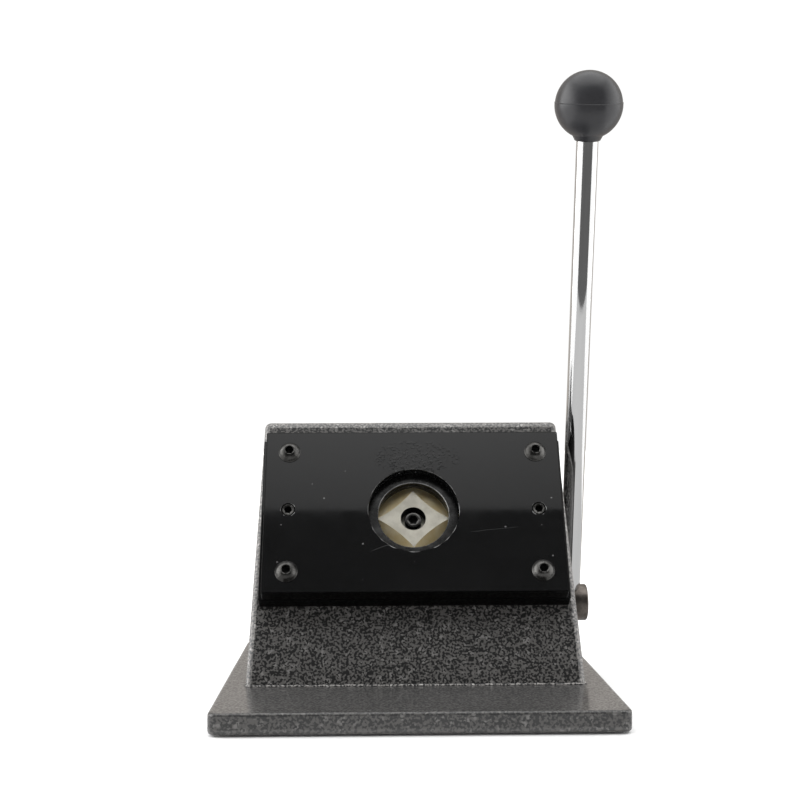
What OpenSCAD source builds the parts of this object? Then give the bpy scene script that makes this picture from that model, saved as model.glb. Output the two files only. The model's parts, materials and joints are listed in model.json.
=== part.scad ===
// Lever-operated disc cutter for button badges: a hammertone wedge body on a
// base plate, a slotted pair of die plates on its sloping face, and a punch
// that a hand lever drives through a rack and pinion.
// Row frame: +X to the lever side, +Y to the back, +Z up. The origin is the
// centre of the footprint, on the surface that the tool stands on.

/* [Base] */
// Width of the base plate
base_w = 220; // [210:1:240]
// Depth of the base plate
base_d = 240; // [236:1:260]
// Thickness of the base plate
base_t = 11.4; // [8:0.1:14]
// Thickness of the anti-slip mat under the base plate
mat_t = 1; // [0.5:0.1:2]
// Corner radius of the base plate in plan
base_corner = 6; // [2:0.5:8]

/* [Body] */
// Width of the body at its foot
foot_w = 193.3; // [190:0.1:198]
// Width of the body at its top
top_w = 182.5; // [178:0.1:188]
// Height of the body above the base plate
body_h = 149; // [146:1:154]
// Distance from the base plate's front edge to the body's foot
foot_front = 72; // [70:1:74]
// Distance from the base plate's front edge to the body's back
body_back = 224; // [224:1:228]
// Lean of the sloping face back from the vertical, in degrees
tilt = 29; // [28.5:0.1:29.5]
// Rounding of the body's outer edges
body_edge = 4; // [2:0.5:5]
// Thickness of the face wall
face_wall = 10; // [9:0.5:10]
// Thickness of the top and back walls
thin_wall = 7; // [5:0.5:7]

/* [Die plates] */
// Width of the front plate
plate_w = 176.4; // [174:0.1:180]
// Width of the back plate
back_plate_w = 181; // [178:0.5:182]
// Height of both plates up the slope
plate_h = 104; // [100:1:106]
// Thickness of the front plate
front_plate_t = 10.3; // [10:0.1:11]
// Thickness of the back plate
back_plate_t = 10; // [9:0.1:11]
// Paper slot between the plates
slot_t = 1; // [0.6:0.1:1.2]
// Distance from the body's foot up the slope to the punch axis
axis_rise = 100; // [99.5:0.5:100.5]
// Diameter of the window in the front plate
window_d = 53.5; // [50:0.5:56]
// Depth of the window down to the die ring
window_depth = 6.9; // [6:0.1:7.2]

/* [Punch] */
// Diameter of the paper disc, which is the punch's diameter
disc_d = 41.9; // [40:0.1:43]
// Depth of the punch face below the front plate at rest
punch_depth = 12.5; // [12:0.1:13]
// Radial clearance between punch and die
punch_gap = 0.05; // [0.03:0.01:0.08]
// Depth of the ground hollows at the punch's rim
scallop_depth = 3.2; // [2:0.1:4]

/* [Lever] */
// Diameter of the lever rod
rod_d = 13; // [12:0.5:13]
// Distance from the shaft's axis to the knob's centre
lever_len = 315; // [280:1:330]
// Diameter of the ball knob
knob_d = 40.4; // [36:0.2:44]
// Lean of the lever towards the front at rest, in degrees
lever_lean = 17; // [10:0.5:20]
// Distance of the rod's axis from the centre plane
rod_x = 102.6; // [102.4:0.1:104]
// Outer diameter of the lever hub
hub_d = 23.3; // [22:0.1:24]
// Diameter of the drive shaft
shaft_d = 16; // [15:0.5:16]

/* [Gear] */
// Gear module
gear_module = 1.5; // [1.5]
// Teeth on the pinion
pinion_teeth = 16; // [16]
// Backlash taken off each tooth's thickness
backlash = 0.12; // [0.08:0.01:0.2]

/* [Hidden] */

$fn = 96;
eps = 0.1;       // overlap that keeps cuts clean
fit = 0.05;      // radial room for a screw or pin in its hole
run_gap = 0.04;  // radial room in a running fit

// Base and body
base_top = mat_t + base_t;
front_y = -base_d / 2;
foot_y = front_y + foot_front;
back_y = front_y + body_back;
top_z = base_top + body_h;
mat_inset = 6;
cavity_half = 86;
base_screw_x = 80;
base_screw_ys = [foot_y + 20, back_y - 16];
base_screw_d = 6;
boss_h = 24;

// Punch axis: local +Z points out of the sloping face, local +Y up the slope
axis_y = foot_y + axis_rise * sin(tilt);
axis_z = base_top + axis_rise * cos(tilt);
front_z = back_plate_t + slot_t + front_plate_t;
slot_z = back_plate_t;
die_front_z = front_z - window_depth;
die_back_z = back_plate_t + slot_t;
die_flange_t = 2;
die_flange_r = window_d / 2 + 3.3;

// Screws through the plates
plate_screw_x = 74;
plate_screw_pitch = 81.6;
plate_screw_shift = -0.8;
plate_screw_d = 8;
button_d = 14;
button_h = 4.4;
button_hex = 5;
set_screw_y = 0.6;
set_screw_hex = 4.5;
spacer_in = 66;
spacer_margin = 2;

// Punch and ram
punch_r = disc_d / 2;
punch_face = front_z - punch_depth;
punch_t = 20;
punch_back = punch_face - punch_t;
counterbore_d = 15;
counterbore_depth = 8;
scallop_start = 12.6;
scallop_turn = 48;
scallop_r = 70;
punch_screw_d = 6;
cap_d = 10;
cap_h = 6;
cap_hex = 5;
ram_r = 12.5;

// Rack and pinion
pitch_r = gear_module * pinion_teeth / 2;
tip_r = pitch_r + gear_module;
root_r = pitch_r - 1.25 * gear_module;
pressure = 20;
tooth_pitch = PI * gear_module;
rack_drop = 7.2;
shaft_drop = pitch_r + rack_drop;
shaft_back = 78;
gaps_front = 1;
gaps_back = 3;
ram_end = -shaft_back - (gaps_back + 0.75) * tooth_pitch;
flat_start = -shaft_back + tip_r - 2;
pinion_half = 9;
pinion_boss = 8;
boss_r = root_r;
pin_d = 4;
shaft_y = axis_y + shaft_back * cos(tilt) - shaft_drop * sin(tilt);
shaft_z = axis_z - shaft_back * sin(tilt) - shaft_drop * cos(tilt);

// Guide block behind the face wall
guide_front = -face_wall;
flange_t = 12;
flange_x = 42;
flange_y = 34;
guide_screw_x = 33;
guide_screw_y = 25;
front_bearing_end = -35;
rear_bearing_start = -63;
guide_end = -93;
cheek_in = 20;
cheek_out = 28;
guide_low = -36;
guide_high = 17.5;
pocket_r = tip_r + 1;
pocket_gap = 0.5;
bush_r = 10;

// Return spring and its collar on the ram
collar_t = 6;
collar_r = 18;
collar_back = rear_bearing_start + 0.2;
collar_front = collar_back + collar_t;
spring_wire = 2.4;
spring_mean_r = ram_r + spring_wire / 2 + 0.6;
spring_coils = 3.5;
spring_steps = 24;
wire_sides = 8;

// Shaft line, along +X
shaft_left = -34.5;
hub_in = 96.3;
hub_out = 113.6;
hub_end_wall = 3;
shaft_right = hub_out - hub_end_wall - 0.3;
wall_bush_r = 11;
wall_bush_in = 78;
wall_bush_out = hub_in - 0.3;
wall_boss_r = 17;
ring_x = -31;
ring_t = 1.2;
ring_depth = 1;

// Lever
hub_r = hub_d / 2;
rod_seat = 10.4;
stud_d = 10;
stud_depth = 3;
knob_r = knob_d / 2;
neck_len = 2.6;
neck_r = 9;
neck_low_r = 7.6;
neck_top = sqrt(knob_r * knob_r - neck_r * neck_r);
knob_low = neck_top + neck_len;
rod_top = lever_len - knob_low;
rod_stud_d = 8;
rod_stud_len = 15;
insert_r = 6;

// Rear cover
cover_t = 2;
cover_x = 65;
cover_z = 53;
cover_mid = base_top + 68;
cover_border = 10;
cover_screw_d = 4;

// ---------- shared shapes ----------

// Moves to the punch axis, where it leaves the body's face
module on_face() {
    translate([0, axis_y, axis_z]) rotate([90 - tilt, 0, 0]) children();
}

// Moves to the shaft line, with the cylinder's axis along +X
module on_shaft(x = 0) {
    translate([x, shaft_y, shaft_z]) rotate([0, 90, 0]) children();
}

// Moves to the lever's line, with +Z up the rod
module on_lever(x = rod_x) {
    translate([x, shaft_y, shaft_z]) rotate([lever_lean, 0, 0]) children();
}

module rod_z(r, z0, z1) {
    translate([0, 0, z0]) cylinder(r = r, h = z1 - z0);
}

module box(x, y, z) {
    translate([x[0], y[0], z[0]]) cube([x[1] - x[0], y[1] - y[0], z[1] - z[0]]);
}

module tube(r_out, r_in, z0, z1) {
    difference() {
        rod_z(r_out, z0, z1);
        rod_z(r_in, z0 - eps, z1 + eps);
    }
}

module hex_socket(across, depth) {
    cylinder(d = across / cos(30), h = depth + eps, $fn = 6);
}

// Cylinder with a chamfer at its +Z end
module chamfered(r, h, chamfer) {
    cylinder(r = r, h = h - chamfer);
    translate([0, 0, h - chamfer]) cylinder(r1 = r, r2 = r - chamfer, h = chamfer);
}

// Button-head screw whose head sits on z = 0 and shank runs down
module button_screw(d, head_d, head_h, across, length) {
    dome_r = (pow(head_d / 2, 2) + pow(head_h, 2)) / (2 * head_h);
    difference() {
        union() {
            intersection() {
                translate([0, 0, head_h - dome_r]) sphere(r = dome_r);
                rod_z(head_d / 2, 0, head_h - 0.3);
            }
            rod_z(d / 2, -length, eps);
        }
        translate([0, 0, head_h - 3]) hex_socket(across, 3);
    }
}

// Cap screw whose head sits on z = 0 and shank runs down
module cap_screw(d, head_d, head_h, across, length) {
    difference() {
        union() {
            chamfered(head_d / 2, head_h, 0.5);
            rod_z(d / 2, -length, eps);
        }
        translate([0, 0, head_h / 2]) hex_socket(across, head_h / 2);
    }
}

// Grub screw from z = 0 down, with its socket at the top
module grub_screw(d, across, length) {
    difference() {
        translate([0, 0, -length]) chamfered(d / 2, length, 0.5);
        translate([0, 0, -length / 2]) hex_socket(across, length / 2);
    }
}

module at_base_screws() {
    for (x = [-base_screw_x, base_screw_x], y = base_screw_ys)
        translate([x, y, mat_t]) children();
}

module at_plate_screws() {
    for (x = [-plate_screw_x, plate_screw_x], side = [-0.5, 0.5])
        translate([x, plate_screw_shift + side * plate_screw_pitch, 0]) children();
}

module at_set_screws() {
    for (x = [-plate_screw_x, plate_screw_x]) translate([x, set_screw_y, 0]) children();
}

module at_guide_screws() {
    for (x = [-guide_screw_x, guide_screw_x], y = [-guide_screw_y, guide_screw_y])
        translate([x, y, 0]) children();
}

module at_cover_screws() {
    for (x = [-1, 1], z = [-1, 1])
        translate([x * (cover_x - cover_border / 2), back_y,
                   cover_mid + z * (cover_z - cover_border / 2)])
            rotate([-90, 0, 0]) children();
}

// ---------- base ----------

module base_plate() {
    edge = 1.2;
    color("dimgray") difference() {
        hull() for (x = [-1, 1], y = [-1, 1])
            translate([x * (base_w / 2 - base_corner), y * (base_d / 2 - base_corner), mat_t]) {
                cylinder(r = base_corner, h = base_t - edge, $fn = 32);
                cylinder(r = base_corner - edge, h = base_t, $fn = 32);
            }
        at_base_screws() {
            rod_z(base_screw_d / 2 + fit, -eps, base_t + eps);
            rod_z(base_screw_d + fit, -eps, 0.3);
            translate([0, 0, 0.3])
                cylinder(r1 = base_screw_d + fit, r2 = base_screw_d / 2 + fit, h = base_screw_d / 2);
        }
    }
}

module anti_slip_mat() {
    half_w = base_w / 2 - mat_inset;
    half_d = base_d / 2 - mat_inset;
    color("black") box([-half_w, half_w], [-half_d, half_d], [0, mat_t]);
}

module base_screws() {
    color("gray") at_base_screws() difference() {
        union() {
            translate([0, 0, 0.3])
                cylinder(r1 = base_screw_d, r2 = base_screw_d / 2, h = base_screw_d / 2);
            rod_z(base_screw_d / 2, 0.5, base_t + boss_h - 6);
        }
        translate([0, 0, 0.3 - eps]) hex_socket(4, 2);
    }
}

// ---------- body ----------

// Point on the face plane at height z, as a Y value
function face_y(z) = foot_y + (z - base_top) * tan(tilt);

// Outer shape: rounded wedge with drafted sides, cut flat at the base plate
module wedge() {
    r = body_edge;
    slant = r / cos(tilt);
    draft = (foot_w - top_w) / body_h / 2;
    low = base_top - r;
    high = top_z - r;
    intersection() {
        hull() for (side = [-1, 1]) {
            for (z = [low, high]) {
                half = foot_w / 2 - draft * (z - base_top) - r;
                translate([side * half, face_y(z) + slant, z]) sphere(r = r, $fn = 32);
                translate([side * half, back_y - r, z]) sphere(r = r, $fn = 32);
            }
        }
        box([-foot_w, foot_w], [foot_y - 2 * r, back_y + r], [base_top, top_z + r]);
    }
}

// Hollow inside the walls, open towards the base plate
module cavity() {
    inner = face_wall / cos(tilt);
    high = top_z - thin_wall;
    back = back_y - thin_wall - 1;
    translate([-cavity_half, 0, 0]) rotate([90, 0, 90])
        linear_extrude(2 * cavity_half) polygon([
            [face_y(base_top) + inner - eps * tan(tilt), base_top - eps],
            [back, base_top - eps],
            [back, high],
            [face_y(high) + inner, high]
        ]);
}

module body_housing() {
    color("dimgray") difference() {
        union() {
            difference() {
                wedge();
                cavity();
            }
            intersection() {
                wedge();
                union() {
                    for (x = [-base_screw_x, base_screw_x], y = base_screw_ys)
                        translate([x, y, base_top]) cylinder(r = 8, h = boss_h);
                    on_shaft() rod_z(wall_boss_r, wall_bush_in, cavity_half + 2);
                }
            }
        }
        at_base_screws() rod_z(base_screw_d / 2 + fit, base_t - eps, base_t + boss_h - 4);
        on_shaft() rod_z(wall_bush_r, wall_bush_in - eps, hub_out);
        on_face() {
            rod_z(punch_r + 2, -face_wall - eps, eps);
            at_plate_screws() rod_z(plate_screw_d / 2 + fit, -face_wall - eps, eps);
            at_guide_screws() {
                rod_z(3 + fit, -face_wall - eps, eps);
                rod_z(5.5, -cap_h - 0.3, eps);
            }
        }
        box([-cover_x + cover_border, cover_x - cover_border],
            [back_y - thin_wall - 2, back_y + eps],
            [cover_mid - cover_z + cover_border, cover_mid + cover_z - cover_border]);
        at_cover_screws() rod_z(cover_screw_d / 2 + fit, -6, eps);
    }
}

module rear_cover() {
    color("dimgray") difference() {
        box([-cover_x, cover_x], [back_y, back_y + cover_t],
            [cover_mid - cover_z, cover_mid + cover_z]);
        at_cover_screws() rod_z(cover_screw_d / 2 + fit, -eps, cover_t + eps);
    }
}

module rear_cover_screws() {
    color("gray") at_cover_screws() translate([0, 0, cover_t])
        button_screw(cover_screw_d, 7.6, 2.2, 2.5, 7);
}

// ---------- die plates ----------

module back_plate() {
    color("black") on_face() difference() {
        box([-back_plate_w / 2, back_plate_w / 2], [-plate_h / 2, plate_h / 2], [0, back_plate_t]);
        rod_z(punch_r + punch_gap, -eps, back_plate_t + eps);
        at_plate_screws() rod_z(plate_screw_d / 2 + fit, -eps, back_plate_t + eps);
    }
}

module slot_spacers() {
    color("silver") on_face() difference() {
        for (side = [-1, 1]) {
            inner = side * spacer_in;
            outer = side * (plate_w / 2 - spacer_margin);
            box([min(inner, outer), max(inner, outer)],
                [spacer_margin - plate_h / 2, plate_h / 2 - spacer_margin],
                [slot_z, slot_z + slot_t]);
        }
        at_plate_screws() rod_z(plate_screw_d / 2 + fit, 0, front_z);
        at_set_screws() rod_z(plate_screw_d / 2 + fit, 0, front_z);
    }
}

module front_plate() {
    color("black") on_face() difference() {
        box([-plate_w / 2, plate_w / 2], [-plate_h / 2, plate_h / 2], [die_back_z, front_z]);
        rod_z(window_d / 2, die_back_z - eps, front_z + eps);
        rod_z(die_flange_r + fit, die_back_z - eps, die_back_z + die_flange_t + fit);
        at_plate_screws() rod_z(plate_screw_d / 2 + fit, 0, front_z + eps);
        at_set_screws() rod_z(plate_screw_d / 2 + fit, 0, front_z + eps);
    }
}

module die_ring() {
    color("darkgray") on_face() difference() {
        union() {
            rod_z(window_d / 2 - fit, die_back_z, die_front_z);
            rod_z(die_flange_r, die_back_z, die_back_z + die_flange_t);
        }
        rod_z(punch_r + punch_gap, die_back_z - eps, die_front_z + eps);
    }
}

module plate_screws() {
    color("dimgray") on_face() at_plate_screws() translate([0, 0, front_z])
        button_screw(plate_screw_d, button_d, button_h, button_hex, front_z + face_wall - 1);
}

module set_screws() {
    color("dimgray") on_face() at_set_screws() translate([0, 0, front_z - 0.3])
        grub_screw(plate_screw_d, set_screw_hex, front_z - 0.3 - slot_z);
}

// ---------- guide block and bearings ----------

module ram_guide() {
    color("slategray") on_face() difference() {
        union() {
            box([-flange_x, flange_x], [-flange_y, flange_y], [guide_front - flange_t, guide_front]);
            rod_z(cheek_in, front_bearing_end, guide_front);
            for (side = [0, 1]) mirror([side, 0, 0])
                box([cheek_in, cheek_out], [guide_low, guide_high], [guide_end, guide_front - 1]);
            box([-cheek_in - 1, cheek_in + 1], [guide_low, guide_high],
                [guide_end, rear_bearing_start]);
        }
        rod_z(ram_r + run_gap, guide_end - eps, guide_front + eps);
        rod_z(punch_r + 1, punch_back - 1, guide_front + eps);
        at_guide_screws() rod_z(3 + fit, guide_front - flange_t - eps, guide_front + eps);
        translate([0, -shaft_drop, -shaft_back]) rotate([0, 90, 0]) {
            rod_z(bush_r, -cheek_out - eps, cheek_out + eps);
            rod_z(pocket_r, -pinion_half - pocket_gap, pinion_half + pinion_boss + pocket_gap);
        }
        box([-pinion_half - pocket_gap, pinion_half + pinion_boss + pocket_gap],
            [guide_low - eps, -shaft_drop],
            [-shaft_back - pocket_r, -shaft_back + pocket_r]);
    }
}

module guide_screws() {
    color("gray") on_face() at_guide_screws() translate([0, 0, -cap_h - 0.3])
        cap_screw(6, cap_d, cap_h, cap_hex, 14);
}

module guide_bushes() {
    color("peru") on_shaft() {
        tube(bush_r, shaft_d / 2 + run_gap, -cheek_out, -pinion_half - 1);
        tube(bush_r, shaft_d / 2 + run_gap, pinion_half + pinion_boss + 1, cheek_out);
    }
}

module wall_bush() {
    color("peru") on_shaft()
        tube(wall_bush_r, shaft_d / 2 + run_gap, wall_bush_in, wall_bush_out);
}

// ---------- shaft and pinion ----------

module drive_shaft() {
    color("silver") difference() {
        on_shaft() difference() {
            rod_z(shaft_d / 2, shaft_left, shaft_right);
            translate([0, 0, ring_x - ring_t]) tube(shaft_d, shaft_d / 2 - ring_depth, 0, ring_t);
        }
        on_lever() rod_z(stud_d / 2 + fit, -stud_depth - 1, shaft_d);
        pinion_pin_line() rod_z(pin_d / 2, -shaft_d, shaft_d);
    }
}

// Involute of an angle, in degrees
function involute(a) = tan(a) * 180 / PI - a;

// Half the tooth's angle at radius r
function half_tooth(r) = let (base = pitch_r * cos(pressure))
    90 / pinion_teeth - backlash / pitch_r * 90 / PI
    + involute(pressure) - involute(acos(min(1, base / r)));

// One tooth's outline, up one flank and down the other
flank_steps = 5;
base_r = pitch_r * cos(pressure);
flank = [for (i = [0 : flank_steps]) base_r + (tip_r - base_r) * i / flank_steps];
function on_circle(r, a) = [r * cos(a), r * sin(a)];
function tooth(a) = concat(
    [on_circle(root_r, a - half_tooth(base_r) - 1)],
    [for (r = flank) on_circle(r, a - half_tooth(r))],
    [for (i = [flank_steps : -1 : 0]) on_circle(flank[i], a + half_tooth(flank[i]))],
    [on_circle(root_r, a + half_tooth(base_r) + 1)]
);

module pinion_pin_line() {
    on_shaft(pinion_half + pinion_boss / 2) rotate([0, 90, 0]) children();
}

module pinion() {
    color("gray") difference() {
        translate([0, shaft_y, shaft_z]) rotate([90 - tilt, 0, 0]) rotate([0, 90, 0]) union() {
            translate([0, 0, -pinion_half]) linear_extrude(2 * pinion_half)
                polygon([for (i = [0 : pinion_teeth - 1]) each tooth(90 + 360 / pinion_teeth * i)]);
            rod_z(boss_r, pinion_half - eps, pinion_half + pinion_boss);
        }
        on_shaft() rod_z(shaft_d / 2 + 0.02, -pinion_half - eps, pinion_half + pinion_boss + eps);
        pinion_pin_line() rod_z(pin_d / 2, -pitch_r * 2, pitch_r * 2);
    }
}

module pinion_pin() {
    length = boss_r - 0.4;
    color("silver") pinion_pin_line() tube(pin_d / 2, pin_d / 4, -length, length);
}

module retaining_ring() {
    groove_r = shaft_d / 2 - ring_depth;
    color("gray") on_shaft(ring_x - ring_t) difference() {
        tube(groove_r + 3.5, groove_r, 0, ring_t);
        box([0, 2 * groove_r], [-3, 3], [-eps, ring_t + eps]);
    }
}

// ---------- lever ----------

module lever_hub() {
    color("dimgray") difference() {
        on_shaft(hub_in) chamfered(hub_r, hub_out - hub_in, 1.2);
        on_shaft() rod_z(shaft_d / 2 + 0.02, hub_in - eps, hub_out - hub_end_wall);
        on_lever() {
            rod_z(stud_d / 2 + fit, 0, hub_r + eps);
            rod_z(rod_d / 2 + 0.1, rod_seat, hub_r + 5);
            rotate([-90, 0, 0]) rod_z(3 + fit, 0, hub_r + 1);
        }
    }
}

module hub_set_screw() {
    color("gray") on_lever() rotate([-90, 0, 0]) translate([0, 0, hub_r - 0.6])
        grub_screw(6, 3, hub_r - 0.6 - shaft_d / 2);
}

module lever_rod() {
    color("silver") on_lever() {
        rod_z(stud_d / 2, -stud_depth, rod_seat + eps);
        rod_z(rod_d / 2, rod_seat, rod_top);
        rod_z(rod_stud_d / 2, rod_top - eps, rod_top + rod_stud_len);
    }
}

module knob_insert() {
    color("goldenrod") on_lever()
        tube(insert_r, rod_stud_d / 2 + fit, rod_top + 0.2, rod_top + rod_stud_len + 1);
}

module ball_knob() {
    color("black") on_lever() translate([0, 0, lever_len]) difference() {
        union() {
            intersection() {
                sphere(r = knob_r);
                rod_z(knob_d, -neck_top, knob_d);
            }
            translate([0, 0, -knob_low]) cylinder(r1 = neck_low_r, r2 = neck_r, h = neck_len + eps);
        }
        rod_z(insert_r, -knob_low - eps, -knob_low + rod_stud_len + 1);
    }
}

// ---------- ram and punch ----------

// Gap between two rack teeth, as a trapezium across the ram
module rack_gap(z) {
    half_pitch = tooth_pitch / 4 + backlash / 4;
    rise = tan(pressure);
    top = gear_module * 1.25;
    low = gear_module + 4;
    translate([0, -rack_drop, z]) rotate([90, 0, 90])
        translate([0, 0, -ram_r - 1]) linear_extrude(2 * ram_r + 2) polygon([
            [top, -half_pitch + top * rise], [top, half_pitch - top * rise],
            [-low, half_pitch + low * rise], [-low, -half_pitch - low * rise]
        ]);
}

module ram() {
    color("silver") on_face() difference() {
        rod_z(ram_r, ram_end, punch_back);
        rod_z(punch_screw_d / 2 + fit, punch_back - 24, punch_back + eps);
        box([-ram_r, ram_r], [-ram_r - 1, -rack_drop - gear_module], [ram_end - 1, flat_start]);
        for (i = [-gaps_back : gaps_front]) rack_gap(-shaft_back + i * tooth_pitch);
    }
}

// Conical hollow beside the punch face's flat, deepest at the rim
module scallop() {
    run = punch_r - scallop_start;
    slope = run / scallop_depth;
    rise = 1;
    translate([scallop_start + scallop_r, 0, punch_face - scallop_depth])
        cylinder(r1 = scallop_r - run, r2 = scallop_r + slope * rise, h = scallop_depth + rise);
}

module punch() {
    color("gainsboro") on_face() difference() {
        rod_z(punch_r, punch_back, punch_face);
        rod_z(punch_screw_d / 2 + 0.2, punch_back - eps, punch_face);
        rod_z(counterbore_d / 2, punch_face - counterbore_depth, punch_face + eps);
        for (side = [0, 180], a = [-scallop_turn, scallop_turn]) rotate([0, 0, side + a]) scallop();
    }
}

module punch_screw() {
    color("dimgray") on_face() translate([0, 0, punch_face - counterbore_depth])
        cap_screw(punch_screw_d, cap_d, cap_h, cap_hex, 32);
}

module spring_collar() {
    color("gray") on_face() difference() {
        rod_z(collar_r, collar_back, collar_front);
        rod_z(ram_r + 0.02, collar_back - eps, collar_front + eps);
        translate([0, 0, (collar_back + collar_front) / 2]) rotate([-90, 0, 0])
            rod_z(2 + fit, 0, collar_r + 1);
    }
}

module collar_screw() {
    color("dimgray") on_face()
        translate([0, collar_r - 0.4, (collar_back + collar_front) / 2]) rotate([-90, 0, 0])
            grub_screw(4, 2, collar_r - 0.4 - ram_r - 0.1);
}

// Coil between the guide's front bearing and the collar
spring_low = collar_front + spring_wire / 2 + 0.05;
spring_high = front_bearing_end - spring_wire / 2 - 0.05;
spring_count = spring_coils * spring_steps;
function spring_ring(i) = let (a = 360 * i / spring_steps,
    z = spring_low + (spring_high - spring_low) * i / spring_count)
    [for (k = [0 : wire_sides - 1]) let (b = 360 * k / wire_sides,
        r = spring_mean_r + spring_wire / 2 * cos(b))
        [r * cos(a), r * sin(a), z + spring_wire / 2 * sin(b)]];

module return_spring() {
    points = [for (i = [0 : spring_count]) each spring_ring(i)];
    last = spring_count * wire_sides;
    sides = [for (i = [0 : spring_count - 1], k = [0 : wire_sides - 1])
        let (a = i * wire_sides + k, b = i * wire_sides + (k + 1) % wire_sides)
        [a, a + wire_sides, b + wire_sides, b]];
    ends = [[for (k = [0 : wire_sides - 1]) k],
            [for (k = [wire_sides - 1 : -1 : 0]) last + k]];
    color("silver") on_face() polyhedron(points, concat(sides, ends));
}

base_plate();
anti_slip_mat();
base_screws();
body_housing();
rear_cover();
rear_cover_screws();
back_plate();
slot_spacers();
front_plate();
die_ring();
plate_screws();
set_screws();
ram_guide();
guide_screws();
guide_bushes();
wall_bush();
drive_shaft();
pinion();
pinion_pin();
retaining_ring();
lever_hub();
hub_set_screw();
lever_rod();
knob_insert();
ball_knob();
ram();
punch();
punch_screw();
spring_collar();
collar_screw();
return_spring();
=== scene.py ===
"""Looks for the badge disc cutter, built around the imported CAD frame.

Row frame, metres: +X to the lever side, +Y to the back, +Z up. Sizes and places
come from the frame's boxes and joints, and each part of the object has its own
section below.
"""

import json
import math
import random

import bmesh
import bpy
from mathutils import Matrix, Vector
from mathutils.geometry import delaunay_2d_cdt


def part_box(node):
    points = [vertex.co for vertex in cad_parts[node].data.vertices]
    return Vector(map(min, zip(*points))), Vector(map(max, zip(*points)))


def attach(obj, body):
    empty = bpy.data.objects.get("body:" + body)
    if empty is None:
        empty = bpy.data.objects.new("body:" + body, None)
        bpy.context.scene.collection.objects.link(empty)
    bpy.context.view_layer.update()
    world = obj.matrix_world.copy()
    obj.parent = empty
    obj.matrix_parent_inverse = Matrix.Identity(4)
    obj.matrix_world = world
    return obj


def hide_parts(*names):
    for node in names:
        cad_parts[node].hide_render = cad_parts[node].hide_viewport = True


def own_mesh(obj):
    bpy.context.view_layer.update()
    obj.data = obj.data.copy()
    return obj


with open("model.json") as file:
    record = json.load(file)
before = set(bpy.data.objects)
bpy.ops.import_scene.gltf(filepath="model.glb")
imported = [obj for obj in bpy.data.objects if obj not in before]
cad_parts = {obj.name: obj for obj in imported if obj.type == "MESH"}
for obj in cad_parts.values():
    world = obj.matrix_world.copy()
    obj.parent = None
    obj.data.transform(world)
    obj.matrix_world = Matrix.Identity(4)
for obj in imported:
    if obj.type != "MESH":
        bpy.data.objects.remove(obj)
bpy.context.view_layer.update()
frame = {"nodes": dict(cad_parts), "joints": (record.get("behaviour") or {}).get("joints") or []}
MM = 0.001
SEGMENTS = 96
POINT = 1e-6        # radius that stands for a point on an axis
WELD = 2e-6         # vertices closer than this become one
CAD_WELD = 1e-6     # the same, on meshes that come from the CAD
FLAT = 0.9999       # cosine above which a face counts as square to a direction
random.seed(7)

# ---------- places worked out from the frame ----------

joints = {j["name"]: j for j in frame["joints"]}
SHAFT = Vector(joints["lever_hinge"]["pos_m"])
NORMAL = Vector(joints["ram_slide"]["axis"])
ACROSS, Y_AXIS, Z_AXIS = Vector((1, 0, 0)), Vector((0, 1, 0)), Vector((0, 0, 1))
SLOPE = NORMAL.cross(ACROSS)
SINE, COSINE = SLOPE.y, SLOPE.z


def middle(node):
    low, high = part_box(node)
    return (low + high) / 2


def span(node):
    low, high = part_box(node)
    return high - low


AXIS_POINT = middle("punch")


def face_slab(node):
    """Width, height up the slope, thickness and distance of the middle along the normal."""
    size = span(node)
    height = (size.y * SINE - size.z * COSINE) / (SINE ** 2 - COSINE ** 2)
    thick = (size.y - height * SINE) / COSINE
    return size.x, height, thick, (middle(node) - AXIS_POINT).dot(NORMAL)


def frame_matrix(origin, x_axis, y_axis, z_axis):
    columns = Matrix((x_axis, y_axis, z_axis)).transposed().to_4x4()
    return Matrix.Translation(origin) @ columns


def on_face(x=0.0, y=0.0, z=0.0):
    """Local +X across, +Y up the slope and +Z out of the face, from the punch's middle."""
    origin = AXIS_POINT + ACROSS * x + SLOPE * y + NORMAL * z
    return frame_matrix(origin, ACROSS, SLOPE, NORMAL)


def knob_centre():
    low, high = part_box("ball_knob")
    radius = (high.x - low.x) / 2
    return Vector((low.x + radius, low.y + radius, high.z - radius)), radius


KNOB, KNOB_R = knob_centre()
NECK_R = 9 * MM
NECK_LEN = 2.6 * MM
LEVER_FOOT = Vector((KNOB.x, SHAFT.y, SHAFT.z))
LEVER_DIR = (KNOB - LEVER_FOOT).normalized()
LEVER_LEN = (KNOB - LEVER_FOOT).length


def on_lever(z=0.0):
    """Local +Z up the lever rod, from the shaft's axis."""
    side = LEVER_DIR.cross(ACROSS)
    return frame_matrix(LEVER_FOOT + LEVER_DIR * z, ACROSS, side, LEVER_DIR)


def on_shaft(x):
    """Local +Z along the shaft, towards the lever side."""
    return frame_matrix(Vector((x, SHAFT.y, SHAFT.z)), Y_AXIS, Z_AXIS, ACROSS)


def on_back(x, y, z):
    """Local +Z out of the body's back."""
    return frame_matrix(Vector((x, y, z)), -ACROSS, Z_AXIS, Y_AXIS)


# ---------- materials ----------

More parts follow.
